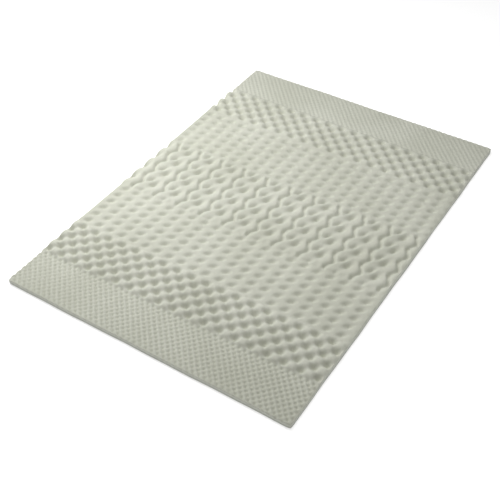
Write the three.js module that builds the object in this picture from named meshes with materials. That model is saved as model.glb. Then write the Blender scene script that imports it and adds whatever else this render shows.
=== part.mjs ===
import * as THREE from 'three';

// A mattress topper: one flat sheet of foam. Its upper face is profile-cut in bands of
// raised relief across the bed, and its underside and four edges are plain cuts.
// Millimetres, +Z up. The origin is the middle of the underside, and +Y runs along the bed.

const width = 1400;
const length = 2000;
const midHeight = 24; // from the underside to the middle of the relief
const foamColour = 0xd9dccb;

// The corners are cut a little round: the edges draw in over their last stretch
const cornerReach = 18;
const cornerPull = 3;
const cornerSteps = 2;

// The end bands carry only fine dimples, so they are level here, in wide steps across
const endStep = 150;

// Each cut has its repeat across and along the bed, how many repeats lie along the band,
// how many rows of points make a repeat, and how many points of it lie in the odd rows,
// which are the crests of the first two, and in the even ones. Its height takes the place
// in the repeat as shares of it.
const cuts = {
  egg: { across: 75.8, along: 76.7, repeats: 3, rows: 4, inOdd: 4, inEven: 2, height: eggHeight },
  cup: { across: 65.6, along: 53.6, repeats: 6, rows: 2, inOdd: 4, inEven: 2, height: cupHeight },
  link: { across: 131, along: 97.4, repeats: 4, rows: 5, inOdd: 8, inEven: 8, height: linkHeight },
};

// The bands between the two level ends, from the near end. span is the length along the
// bed and shift the place across of one repeat's start. The sheet isn't trimmed quite in
// step with the cut, so the two ends differ a little.
const nearEndSpan = 222;
const bands = [
  { cut: cuts.egg, span: 233, shift: 32 },
  { cut: cuts.cup, span: 329, shift: 60 },
  { cut: cuts.link, span: 408, shift: -28 },
  { cut: cuts.cup, span: 338, shift: 51 },
  { cut: cuts.egg, span: 238, shift: 58 },
];

// Egg crate: knobs and pits in turn like a chessboard, a cosine across times a sine along.
// The pit runs from 0 on the knobs to 1, and its power makes the pits narrower.
const eggCrown = 11;
const eggDepth = 26;
const eggPower = 1.5;

function eggHeight(u, v) {
  const pit = 0.5 - 0.5 * Math.cos(2 * Math.PI * u) * Math.sin(2 * Math.PI * v);
  return eggCrown - eggDepth * pit ** eggPower;
}

// Cups: one round pit in every repeat, a raised cosine each way, multiplied
const cupCrown = 4;
const cupDepth = 14.5;
const cupPower = 1.3;

function cupHeight(u, v) {
  const pit = (0.5 + 0.5 * Math.cos(2 * Math.PI * u)) * (0.5 - 0.5 * Math.cos(2 * Math.PI * v));
  return cupCrown - cupDepth * pit ** cupPower;
}

// Links: a winding groove, then two columns of slanting pits, all cut down from a crown.
// Places, the groove's swing and its turn are shares of the repeat, and sizes are in mm.
// The groove's fade is the share of its depth that it loses between its turns.
const linkCrown = 12.5;
const groove = { across: 0.325, swing: 0.08, turn: 0.02, halfWidth: 8.5, depth: 18, fade: 0.3 };
const linkPits = [
  { across: 0.89, along: 0.6, halfWidth: 11.5, halfLength: 24, lean: 28, depth: 24 },
  { across: 0.65, along: 0.87, halfWidth: 9.5, halfLength: 22, lean: 34, depth: 18 },
];

function linkHeight(u, v) {
  const turned = 2 * Math.PI * (v - groove.turn);
  const fromGroove = nearest(u - groove.across + groove.swing * Math.cos(turned)) * cuts.link.across;
  const grooveDepth = groove.depth * (1 - groove.fade * Math.sin(turned) ** 2);
  const inGroove = grooveDepth * bell(fromGroove / groove.halfWidth);
  const inPits = linkPits.map((pit) => pit.depth * bell(pitDistance(pit, u, v)));
  return linkCrown - Math.max(inGroove, ...inPits);
}

// How far a place lies from a pit's middle, where 1 is the pit's half size
function pitDistance(pit, u, v) {
  const lean = THREE.MathUtils.degToRad(pit.lean);
  const dx = nearest(u - pit.across) * cuts.link.across;
  const dy = nearest(v - pit.along) * cuts.link.along;
  const acrossPit = dx * Math.cos(lean) - dy * Math.sin(lean);
  const alongPit = dx * Math.sin(lean) + dy * Math.cos(lean);
  return Math.hypot(acrossPit / pit.halfWidth, alongPit / pit.halfLength);
}

// One in the middle, a half at the half size, and wide skirts beyond
function bell(distance) {
  return 1 / (1 + distance * distance);
}

// The distance to the nearest copy of a repeat, in shares of the repeat
function nearest(share) {
  return share - Math.round(share);
}

// A point of the upper face, with the outline drawn in at the corners
function facePoint(x, y, z) {
  const halfWidth = width / 2 - drawnIn(Math.abs(y) - length / 2);
  const halfLength = length / 2 - drawnIn(Math.abs(x) - width / 2);
  return new THREE.Vector3((x * halfWidth) / (width / 2), (y * halfLength) / (length / 2), z);
}

function drawnIn(fromCorner) {
  return cornerPull * Math.max(0, 1 + fromCorner / cornerReach) ** 3;
}

// Places across the bed: both edges, and the repeats between them
function placesAcross(step, shift) {
  const clear = width / 2 - step / 3;
  const places = [-width / 2];
  for (let k = Math.ceil((-clear - shift) / step); shift + k * step < clear; k += 1) {
    places.push(shift + k * step);
  }
  return [...places, width / 2];
}

// The rows of one level end, from its edge inwards, which also step round both corners
function endRows(side) {
  const rows = [];
  const corners = Array.from({ length: cornerSteps }, (_, k) => (cornerReach * (k + 1)) / cornerSteps);
  const beside = corners.flatMap((inset) => [width / 2 - inset, inset - width / 2]);
  const places = [...placesAcross(endStep, 0), ...beside].sort((a, b) => a - b);
  for (const inset of [0, ...corners]) {
    rows.push(places.map((x) => facePoint(x, side * (length / 2 - inset), midHeight)));
  }
  return rows;
}

// The rows of one band of relief that starts at this place along the bed
function bandRows({ cut, span, shift }, start) {
  const rows = [];
  const margin = (span - cut.repeats * cut.along) / 2;
  for (let k = 0; k <= cut.repeats * cut.rows; k += 1) {
    const v = k / cut.rows;
    const step = cut.across / (k % 2 === 1 ? cut.inOdd : cut.inEven);
    const row = placesAcross(step, shift).map((x) => {
      const height = midHeight + cut.height((x - shift) / cut.across, v);
      return facePoint(x, start + margin + v * cut.along, height);
    });
    rows.push(row);
  }
  return rows;
}

function faceRows() {
  const rows = endRows(-1);
  let start = -length / 2 + nearEndSpan;
  for (const band of bands) {
    rows.push(...bandRows(band, start));
    start += band.span;
  }
  return [...rows, ...endRows(1).reverse()];
}

// Triangles between two rows of points that run the same way, with the second row beyond
// the first. Each step takes the shorter of the two slanting sides that it could have.
function zip(near, far) {
  const triangles = [];
  let i = 0;
  let j = 0;
  while (i < near.length - 1 || j < far.length - 1) {
    const toNear = i < near.length - 1 ? Math.abs(near[i + 1].x - far[j].x) : Infinity;
    const toFar = j < far.length - 1 ? Math.abs(far[j + 1].x - near[i].x) : Infinity;
    if (toNear <= toFar) {
      triangles.push(near[i], near[i + 1], far[j]);
      i += 1;
    } else {
      triangles.push(near[i], far[j + 1], far[j]);
      j += 1;
    }
  }
  return triangles;
}

// The sheet: the upper face, the cut edges all round, and the flat underside as a fan
function buildTopper() {
  const rows = faceRows();
  const triangles = rows.slice(1).flatMap((row, k) => zip(rows[k], row));
  const rightEdge = rows.slice(1, -1).map((row) => row.at(-1));
  const leftEdge = rows.slice(1, -1).map((row) => row[0]).reverse();
  const outline = [...rows[0], ...rightEdge, ...rows.at(-1).toReversed(), ...leftEdge];
  const middle = new THREE.Vector3(0, 0, 0);
  outline.forEach((top, k) => {
    const nextTop = outline[(k + 1) % outline.length];
    const foot = new THREE.Vector3(top.x, top.y, 0);
    const nextFoot = new THREE.Vector3(nextTop.x, nextTop.y, 0);
    triangles.push(foot, nextFoot, nextTop, foot, nextTop, top);
    triangles.push(nextFoot, foot, middle);
  });
  const geometry = new THREE.BufferGeometry().setFromPoints(triangles);
  geometry.computeVertexNormals();
  return geometry;
}

const foam = new THREE.MeshStandardMaterial({ color: foamColour, roughness: 0.95, metalness: 0 });
const foamPad = new THREE.Mesh(buildTopper(), foam);
foamPad.name = 'foam_pad';

const topper = new THREE.Group();
topper.add(foamPad);

export default topper;
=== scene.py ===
import math

import bpy
import numpy as np
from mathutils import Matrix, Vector


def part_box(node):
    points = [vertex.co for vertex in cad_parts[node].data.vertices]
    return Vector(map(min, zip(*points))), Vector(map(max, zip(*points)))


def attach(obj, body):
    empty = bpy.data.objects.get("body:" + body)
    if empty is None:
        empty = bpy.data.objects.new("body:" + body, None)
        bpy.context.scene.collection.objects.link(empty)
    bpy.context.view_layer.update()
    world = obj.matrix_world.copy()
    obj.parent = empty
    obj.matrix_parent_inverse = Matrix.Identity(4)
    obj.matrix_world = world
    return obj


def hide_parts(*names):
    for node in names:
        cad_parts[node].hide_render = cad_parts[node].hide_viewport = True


# A bare foam mattress topper, profile-cut on top in bands of raised relief.
# Metres, +Z up, +Y along the bed, origin in the middle of the flat underside.

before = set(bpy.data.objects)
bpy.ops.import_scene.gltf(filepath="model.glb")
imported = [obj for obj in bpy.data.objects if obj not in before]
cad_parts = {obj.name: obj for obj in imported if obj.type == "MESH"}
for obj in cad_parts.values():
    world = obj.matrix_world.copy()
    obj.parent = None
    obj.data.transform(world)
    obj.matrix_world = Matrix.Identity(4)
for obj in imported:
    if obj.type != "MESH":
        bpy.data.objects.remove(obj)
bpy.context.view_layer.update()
lowCorner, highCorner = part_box("foam_pad")

# the sheet and its cut edge
sheet = {
    "width": highCorner.x - lowCorner.x,
    "length": highCorner.y - lowCorner.y,
    "top": highCorner.z,
    "midHeight": 0.024,       # underside to the middle of the relief
    "stepAcross": 0.0047,     # the surface's own steps: a sixth of a fine dimple
    "stepAlongFine": 0.0054,
    "stepAlong": 0.0072,
    "edgeRound": 0.003,       # the cut edge is soft at the top
    "edgeTurns": (30, 60, 90),    # degrees round from the face
    "footRound": 0.0012,      # and at the bottom
    "cornerReach": 0.018,     # the corners are cut a little round
    "cornerPull": 0.003,
    "leftOver": 0.004,        # the left edge is trimmed a little wide
}

# the edges aren't trimmed quite straight: a long and a short wave, and where each edge starts
trim = {
    "height": 0.0012, "longShare": 0.6, "shortShare": 0.4, "longWave": 0.53, "shortWave": 0.21,
    "shortAhead": 2.3, "right": 1.0, "left": 2.6, "far": 4.1, "near": 5.7,
}

# the sheet isn't quite even in thickness
lie = {"height": 0.0005, "waveAcross": 0.9, "waveAlong": 0.7, "startAcross": 0.4, "startAlong": 1.9}

# slow drifts of the pattern, as soft foam creeps on the cutting rollers
drift = {
    "across": 0.0016, "waveAlong": 0.62, "startAlong": 0.8,
    "along": 0.0014, "waveAcross": 0.46, "startAcross": 2.1,
}

# the bands from the near end: length along the bed, and where one repeat starts across; the
# lead is where the first repeat starts along, and the strength lowers the relief
bands = [
    {"cut": "dimple", "span": 0.220, "shift": 0.0275, "lead": -0.0111},
    {"cut": "egg", "span": 0.233, "shift": 0.033},
    {"cut": "cup", "span": 0.327, "shift": 0.062},
    {"cut": "link", "span": 0.408, "shift": -0.025},
    {"cut": "cup", "span": 0.338, "shift": 0.053, "strength": 0.95},
    {"cut": "farEgg", "span": 0.238, "shift": 0.062, "strength": 0.9},
    {"cut": "dimple", "span": 0.236, "shift": 0.0215, "lead": 0.0, "strength": 0.35},
]
bandBlend = 0.010             # over this length one band's relief fades into the next

# the cuts: repeat across and along the bed, how many repeats lie in a band, the height of the
# crowns, the depth below them, and the foam's tone on the crowns with the painted shade in the pits
dimpleCut = {
    "across": 0.0282, "along": 0.0326, "repeats": 7, "crown": 0.0012, "depth": 0.0092,
    "power": 2.4, "lean": 0.35, "toneAndPitShade": (0.05, 0.95),
}
eggCut = {
    "across": 0.0758, "along": 0.0767, "repeats": 3, "crown": 0.011, "depth": 0.026,
    "power": 2.0, "lean": 0.0, "toneAndPitShade": (0.0, 0.5),
}
farEggCut = dict(eggCut, lean=-0.15)
cupCut = {
    "across": 0.0656, "along": 0.0536, "repeats": 6, "crown": 0.004, "depth": 0.0130,
    "power": 0.95, "lengthen": 0.7, "toneAndPitShade": (0.2, 0.35),
}
# the places across and along, and the groove's swing and turn, are shares of the repeat, and a
# pit leans by degrees
linkCut = {
    "across": 0.131, "along": 0.0974, "repeats": 4, "crown": 0.0125, "depth": 0.024,
    "toneAndPitShade": (0.1, 0.5),
    "groove": {
        "across": 0.325, "swing": 0.080, "turn": 0.02, "halfWidth": 0.0085, "depth": 0.018, "fade": 0.3,
    },
    "pits": [
        {"across": 0.89, "along": 0.60, "halfWidth": 0.0115, "halfLength": 0.024, "lean": 28, "depth": 0.024},
        {"across": 0.65, "along": 0.87, "halfWidth": 0.0095, "halfLength": 0.022, "lean": 34, "depth": 0.018},
    ],
}


def nearest(share):
    # how far a share of a repeat lies from the nearest whole one
    return share - np.round(share)


def bell(distance):
    # one in the middle and a half at the half width, with wide skirts
    return 1 / (1 + distance * distance)


def softStep(t):
    # from 0 to 1 with level ends: three times the square less twice the cube
    t = np.clip(t, 0.0, 1.0)
    return t * t * (3.0 - 2.0 * t)


def slowWave(place, wave, start):
    # a sine of the place over the wave's length, from its own start
    return np.sin(2 * np.pi * place / wave + start)


def crateHeight(cut, u, v):
    # knobs and pits in turn like a chessboard, where two sets of slanting ripples cross: the
    # pit runs from 0 on the knobs to 1, a power narrows the pits, and the lean makes one set
    # the stronger, which draws the pits out along the other
    lean = cut["lean"]
    ripples = (1 + lean) * np.sin(2 * np.pi * (v + u)) + (1 - lean) * np.sin(2 * np.pi * (v - u))
    return cut["crown"] - cut["depth"] * (0.5 - 0.25 * ripples) ** cut["power"]


def cupHeight(cut, u, v):
    # one pit in each repeat: a raised cosine each way, multiplied, and by a third one along
    # the falling diagonal, which draws the pit out along the rising one
    pit = (0.5 + 0.5 * np.cos(2 * np.pi * u)) * (0.5 - 0.5 * np.cos(2 * np.pi * v))
    diagonal = 0.5 - 0.5 * np.cos(2 * np.pi * (u - v))
    return cut["crown"] - cut["depth"] * pit ** cut["power"] * diagonal ** cut["lengthen"]


def linkHeight(cut, u, v):
    # a crown less a bell-shaped groove, whose middle swings as a cosine and whose depth
    # fades between its turns, or less the bell-shaped pits, whichever is deeper
    groove = cut["groove"]
    turned = 2 * np.pi * (v - groove["turn"])
    fromMiddle = nearest(u - groove["across"] + groove["swing"] * np.cos(turned)) * cut["across"]
    grooveDepth = groove["depth"] * (1 - groove["fade"] * np.sin(turned) ** 2)
    deepest = grooveDepth * bell(fromMiddle / groove["halfWidth"])
    for pit in cut["pits"]:
        lean = math.radians(pit["lean"])
        dx = nearest(u - pit["across"]) * cut["across"]
        dy = nearest(v - pit["along"]) * cut["along"]
        acrossPit = (dx * math.cos(lean) - dy * math.sin(lean)) / pit["halfWidth"]
        alongPit = (dx * math.sin(lean) + dy * math.cos(lean)) / pit["halfLength"]
        deepest = np.maximum(deepest, pit["depth"] * bell(np.hypot(acrossPit, alongPit)))
    return cut["crown"] - deepest


cuts = {
    "dimple": (dimpleCut, crateHeight),
    "egg": (eggCut, crateHeight),
    "farEgg": (farEggCut, crateHeight),
    "cup": (cupCut, cupHeight),
    "link": (linkCut, linkHeight),
}


def relief(x, y):
    # the height, and the tone with the painted pit shade, of each band's own cut, faded in and out
    # over its borders so that the shares sum to one; the painted shade deepens with the depth below
    # the crown
    x = x + drift["across"] * slowWave(y, drift["waveAlong"], drift["startAlong"])
    y = y + drift["along"] * slowWave(x, drift["waveAcross"], drift["startAcross"])
    height = np.zeros_like(x)
    toneAndPitShade = np.zeros_like(x)
    start = -sheet["length"] / 2
    for k, band in enumerate(bands):
        cut, shape = cuts[band["cut"]]
        end = start + band["span"]
        # the repeats lie in the middle of their band, but for the ends, whose lead is given
        lead = band.get("lead", (band["span"] - cut["repeats"] * cut["along"]) / 2)
        share = np.ones_like(x)
        if k > 0:
            share = share * softStep((y - start) / bandBlend + 0.5)
        if k < len(bands) - 1:
            share = share * (1 - softStep((y - end) / bandBlend + 0.5))
        u = (x - band["shift"]) / cut["across"]
        v = (y - start - lead) / cut["along"]
        below = (cut["crown"] - shape(cut, u, v)) * band.get("strength", 1.0)
        inPit = np.clip(below / cut["depth"], 0, 1)
        # the crown keeps the band's own tone; the pit darkens toward painted shade as it deepens
        crownTone, pitShade = cut["toneAndPitShade"]
        height += share * (cut["crown"] - below)
        toneAndPitShade += share * (crownTone + (pitShade - crownTone) * inPit)
        start = end
    return height, toneAndPitShade


def rowsAlong():
    # rows of points along the bed in equal steps, shorter on the finely dimpled ends
    places = [-sheet["length"] / 2]
    for band in bands:
        step = sheet["stepAlongFine"] if band["cut"] == "dimple" else sheet["stepAlong"]
        count = round(band["span"] / step)
        places.extend(places[-1] + band["span"] * np.arange(1, count + 1) / count)
    return np.array(places)


def drawnIn(fromCorner):
    # the edge draws in as the cube of how far it has come into the corner's reach
    return sheet["cornerPull"] * np.clip(1 + fromCorner / sheet["cornerReach"], 0, None) ** 3


def edgeWander(place, start):
    # the long and the short wave along an edge, each by its share
    long = trim["longShare"] * slowWave(place, trim["longWave"], start)
    short = trim["shortShare"] * slowWave(place, trim["shortWave"], trim["shortAhead"] * start)
    return trim["height"] * (long + short)


def upperFace():
    # a height over a grid of x and y, and the grid is stretched to the sheet's outline, which
    # is drawn in at the corners, wanders, and goes wide on the left
    halfWidth = sheet["width"] / 2
    halfLength = sheet["length"] / 2
    across = round(sheet["width"] / sheet["stepAcross"])
    gridX, gridY = np.meshgrid(np.linspace(-halfWidth, halfWidth, across + 1), rowsAlong())
    sideStart = np.where(gridX > 0, trim["right"], trim["left"])
    endStart = np.where(gridY > 0, trim["far"], trim["near"])
    reachX = halfWidth - sheet["edgeRound"] - drawnIn(np.abs(gridY) - halfLength)
    reachY = halfLength - sheet["edgeRound"] - drawnIn(np.abs(gridX) - halfWidth)
    reachX = reachX + edgeWander(gridY, sideStart) + np.where(gridX < 0, sheet["leftOver"], 0.0)
    reachY = reachY + edgeWander(gridX, endStart)
    x = gridX * reachX / halfWidth
    y = gridY * reachY / halfLength
    swellAcross = slowWave(x, lie["waveAcross"], lie["startAcross"])
    swellAlong = slowWave(y, lie["waveAlong"], lie["startAlong"])
    height, toneAndPitShade = relief(x, y)
    z = sheet["midHeight"] + height + lie["height"] * swellAcross * swellAlong
    z = np.minimum(z, sheet["top"])
    return np.stack([x, y, z], axis=-1), toneAndPitShade


def outlineOf(index):
    # once round the grid, anticlockwise from the near left corner, seen from above: the
    # points' numbers, and the way out from each, which is diagonal at the corners
    loop = np.concatenate([index[0, :], index[1:, -1], index[-1, -2::-1], index[-2:0:-1, 0]])
    rows, columns = index.shape
    row, column = loop // columns, loop % columns
    outX = np.where(column == columns - 1, 1.0, 0.0) - np.where(column == 0, 1.0, 0.0)
    outY = np.where(row == rows - 1, 1.0, 0.0) - np.where(row == 0, 1.0, 0.0)
    return loop, np.column_stack([outX, outY])


def cutEdgeRings(rim, outward):
    # the edge's profile carried round the outline: a quarter circle down from the rim, a
    # straight drop, and a small slope in under the foot
    top, foot = sheet["edgeRound"], sheet["footRound"]
    profile = []
    for angle in sheet["edgeTurns"]:
        turn = math.radians(angle)
        profile.append((top * math.sin(turn), rim[:, 2] - top * (1 - math.cos(turn))))
    profile.append((top, np.full(len(rim), foot)))
    profile.append((top - foot, np.zeros(len(rim))))
    return [np.column_stack([rim[:, :2] + outward * out, height]) for out, height in profile]


def undersideFaces(ring, rows, columns):
    # the last ring filled flat: a strip of quads between the long edges, and one face at
    # each end
    nearRow = ring[:columns]
    rightSide = ring[columns - 1:columns + rows - 1]
    farRow = ring[columns + rows - 2:2 * columns + rows - 2]
    leftSide = np.concatenate([ring[:1], ring[2 * columns + rows - 3:][::-1]])
    strip = np.stack([leftSide[1:-2], leftSide[2:-1], rightSide[2:-1], rightSide[1:-2]], axis=-1)
    nearEnd = np.concatenate([leftSide[1:2], rightSide[1:2], nearRow[::-1]])
    farEnd = np.concatenate([rightSide[-2:-1], leftSide[-2:-1], farRow[::-1]])
    return [*strip.tolist(), nearEnd.tolist(), farEnd.tolist()]


def pointValues(mesh, name, values):
    # one number for each point, which the foam material reads by its name
    mesh.attributes.new(name, "FLOAT", "POINT").data.foreach_set("value", values.astype(np.float32))


def buildTopper():
    # the upper face, rings of quads from its outline down to the foot, and the underside
    grid, toneAndPitShade = upperFace()
    rows, columns = toneAndPitShade.shape
    face = grid.reshape(-1, 3)
    index = np.arange(rows * columns).reshape(rows, columns)
    loop, outward = outlineOf(index)
    rim = face[loop]
    rings = cutEdgeRings(rim, outward)

    corners = [index[:-1, :-1], index[:-1, 1:], index[1:, 1:], index[1:, :-1]]
    quads = [np.stack(corners, axis=-1).reshape(-1, 4)]
    inner = loop
    for k in range(len(rings)):
        outer = len(face) + k * len(loop) + np.arange(len(loop))
        quads.append(np.stack([inner, outer, np.roll(outer, -1), np.roll(inner, -1)], axis=-1))
        inner = outer
    quads = np.concatenate(quads)
    points = np.concatenate([face, *rings])
    mesh = bpy.data.meshes.new("foamTopper")
    mesh.from_pydata(points.tolist(), [], quads.tolist() + undersideFaces(inner, rows, columns))
    smooth = np.zeros(len(mesh.polygons), dtype=bool)  # the underside stays flat
    smooth[:len(quads)] = True
    mesh.polygons.foreach_set("use_smooth", smooth)

    # the cut edge carries the tone and painted pit shade of the face beside it; how far down it a
    # point lies goes from 0 on the face to 1 at the foot
    pointToneAndPitShade = toneAndPitShade.ravel()
    downEdge = [1 - ring[:, 2] / rim[:, 2] for ring in rings]
    pointValues(mesh, "toneAndPitShade", np.concatenate([pointToneAndPitShade, *[pointToneAndPitShade[loop]] * len(rings)]))
    pointValues(mesh, "cutEdge", np.concatenate([np.zeros(len(face)), *downEdge]))
    mesh.update()
    piece = bpy.data.objects.new("foamTopper", mesh)
    bpy.context.scene.collection.objects.link(piece)
    return piece


# colours are linear and sizes are in metres; each range is the stretch of a noise, or of a
# point's value, over which one tone turns into the next
foam = {
    "pale": (0.68, 0.69, 0.60),
    "deep": (0.58, 0.59, 0.495),
    "poreTone": (0.50, 0.51, 0.42),
    # painted shade: the tone the pits darken to, which the crowns also take a little of
    "pitShadeTone": (0.52, 0.53, 0.44),
    "edgeTone": (0.55, 0.56, 0.49),
    # painted shadow: the tone the cut edge darkens to at its foot, and all over the underside
    "footShadowTone": (0.28, 0.29, 0.25),
    "patches": {"size": 0.35, "detail": 2, "grain": 0.5, "range": (0.35, 0.75)},
    "mottle": {"size": 0.02, "detail": 4, "grain": 0.5, "range": (0.55, 0.95), "bump": 0.35, "depth": 0.002},
    "pores": {"size": 0.0016, "detail": 3, "grain": 0.65, "range": (0.30, 0.46), "bump": 0.6, "depth": 0.0006},
    "pitShadeRange": (0.0, 1.0),
    "edgeRange": (0.0, 0.25),
    "footShadowRange": (0.3, 1.0),
    "roughness": 0.95,
    "specular": 0.2,
    "sheen": 0.12,
    "sheenRoughness": 0.6,
}


def foamMaterial():
    # matt foam: patches, mottle and pores of noise over one another, painted shade in the pits,
    # darker down the cut edge to a painted shadow at its foot, with the pores and the mottle
    # raised as bump
    material = bpy.data.materials.new("paleFoam")
    material.use_nodes = True
    nodes, links = material.node_tree.nodes, material.node_tree.links
    nodes.clear()
    output = nodes.new("ShaderNodeOutputMaterial")
    shader = nodes.new("ShaderNodeBsdfPrincipled")
    shader.inputs["Roughness"].default_value = foam["roughness"]
    shader.inputs["Sheen Weight"].default_value = foam["sheen"]
    shader.inputs["Sheen Roughness"].default_value = foam["sheenRoughness"]
    shader.inputs["Specular IOR Level"].default_value = foam["specular"]
    links.new(shader.outputs["BSDF"], output.inputs["Surface"])
    place = nodes.new("ShaderNodeTexCoord")

    def noise(look):
        # blotches of one size, on the object's own coordinates
        node = nodes.new("ShaderNodeTexNoise")
        node.inputs["Scale"].default_value = 1 / look["size"]
        node.inputs["Detail"].default_value = look["detail"]
        node.inputs["Roughness"].default_value = look["grain"]
        links.new(place.outputs["Object"], node.inputs["Vector"])
        return node.outputs["Fac"]

    def pointValue(name):
        node = nodes.new("ShaderNodeAttribute")
        node.attribute_name = name
        return node.outputs["Fac"]

    def blend(factor, first, second, stretch):
        # a colour between two, by a factor stretched over its range
        span = nodes.new("ShaderNodeMapRange")
        span.inputs["From Min"].default_value, span.inputs["From Max"].default_value = stretch
        links.new(factor, span.inputs["Value"])
        mix = nodes.new("ShaderNodeMix")
        mix.data_type = "RGBA"
        links.new(span.outputs["Result"], mix.inputs["Factor"])
        for socket, colour in (("A", first), ("B", second)):
            target = [s for s in mix.inputs if s.name == socket and s.type == "RGBA"][0]
            if isinstance(colour, tuple):
                target.default_value = (*colour, 1)
            else:
                links.new(colour, target)
        return [s for s in mix.outputs if s.type == "RGBA"][0]

    def bump(height, look):
        # the noise as height, by its strength and depth
        node = nodes.new("ShaderNodeBump")
        node.inputs["Strength"].default_value = look["bump"]
        node.inputs["Distance"].default_value = look["depth"]
        links.new(height, node.inputs["Height"])
        return node

    patches, mottle, pores = (noise(foam[name]) for name in ("patches", "mottle", "pores"))
    cutEdge = pointValue("cutEdge")
    tone = blend(patches, foam["pale"], foam["deep"], foam["patches"]["range"])
    tone = blend(mottle, tone, foam["deep"], foam["mottle"]["range"])
    tone = blend(pores, foam["poreTone"], tone, foam["pores"]["range"])
    # painted shade in the pits, deeper below the crown, over each band's own crown tone
    tone = blend(pointValue("toneAndPitShade"), tone, foam["pitShadeTone"], foam["pitShadeRange"])
    tone = blend(cutEdge, tone, foam["edgeTone"], foam["edgeRange"])
    # painted shadow down the lower cut edge to the foot, and over the whole underside
    tone = blend(cutEdge, tone, foam["footShadowTone"], foam["footShadowRange"])
    links.new(tone, shader.inputs["Base Color"])

    poreBump = bump(pores, foam["pores"])
    mottleBump = bump(mottle, foam["mottle"])
    links.new(poreBump.outputs["Normal"], mottleBump.inputs["Normal"])
    links.new(mottleBump.outputs["Normal"], shader.inputs["Normal"])
    return material


topperPiece = buildTopper()
topperPiece.data.materials.append(foamMaterial())
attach(topperPiece, "root")
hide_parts("foam_pad")
print("topper: foam sheet", len(topperPiece.data.vertices), "points")

# the stage: a pale floor, an even sky, and two strips of soft light along the left edge
stage = {
    "floorSize": 30.0,
    "floorColour": (0.86, 0.86, 0.86),
    "floorGlow": 0.62,
    "floorRoughness": 0.9,
    "floorSpecular": 0.1,
    "skyColour": (1.0, 1.0, 1.0),
    "skyStrength": 0.22,
    "keyPlace": (-0.9, 0.0, 2.2),
    "keyAim": (-0.5, 0.0, 0.0),
    "keySize": (1.2, 4.5),
    "keyPower": 30.0,
    "sidePlace": (-1.4, 0.0, 1.5),
    "sideAim": (0.0, 0.0, 0.0),
    "sideSize": (1.0, 4.5),
    "sidePower": 43.0,
}


def pointAt(thing, place, aim):
    # puts it in the scene at its place, turned so that its own -Z runs from there to the aim
    thing.location = place
    thing.rotation_euler = (Vector(aim) - thing.location).to_track_quat("-Z", "Y").to_euler()
    bpy.context.scene.collection.objects.link(thing)


def buildStage():
    # one flat square that glows a little, a plain sky, and the strips, each aimed at the sheet
    half = stage["floorSize"] / 2
    corners = [(-half, -half, 0), (half, -half, 0), (half, half, 0), (-half, half, 0)]
    mesh = bpy.data.meshes.new("floor")
    mesh.from_pydata(corners, [], [(0, 1, 2, 3)])
    floor = bpy.data.objects.new("floor", mesh)
    bpy.context.scene.collection.objects.link(floor)
    paint = bpy.data.materials.new("paleFloor")
    paint.use_nodes = True
    shader = paint.node_tree.nodes["Principled BSDF"]
    shader.inputs["Base Color"].default_value = (*stage["floorColour"], 1)
    shader.inputs["Roughness"].default_value = stage["floorRoughness"]
    shader.inputs["Specular IOR Level"].default_value = stage["floorSpecular"]
    shader.inputs["Emission Color"].default_value = (1, 1, 1, 1)
    shader.inputs["Emission Strength"].default_value = stage["floorGlow"]
    mesh.materials.append(paint)

    world = bpy.data.worlds.new("softSky")
    world.use_nodes = True
    sky = world.node_tree.nodes["Background"]
    sky.inputs["Color"].default_value = (*stage["skyColour"], 1)
    sky.inputs["Strength"].default_value = stage["skyStrength"]
    bpy.context.scene.world = world

    for name in ("key", "side"):
        lamp = bpy.data.lights.new(name + "Light", "AREA")
        lamp.shape = "RECTANGLE"
        lamp.size, lamp.size_y = stage[name + "Size"]
        lamp.energy = stage[name + "Power"]
        light = bpy.data.objects.new(name + "Light", lamp)
        pointAt(light, stage[name + "Place"], stage[name + "Aim"])
    print("stage: floor, sky and two strip lights")


# the camera stands off the near right corner and looks down at a little over forty degrees
view = {
    "place": (1.588, -2.674, 2.655),
    "lookAt": (0.0576, -0.2672, 0.0),
    "lens": 62.84,
    "sensor": 36.0,
}


def buildCamera():
    # a plain lens, aimed at a place on the floor
    lens = bpy.data.cameras.new("camera")
    lens.lens = view["lens"]
    lens.sensor_width = view["sensor"]
    lens.sensor_fit = "HORIZONTAL"
    camera = bpy.data.objects.new("camera", lens)
    pointAt(camera, view["place"], view["lookAt"])
    bpy.context.scene.camera = camera
    print("camera: set at the photograph's angle")


buildStage()
buildCamera()
bpy.context.scene.view_settings.view_transform = "Standard"
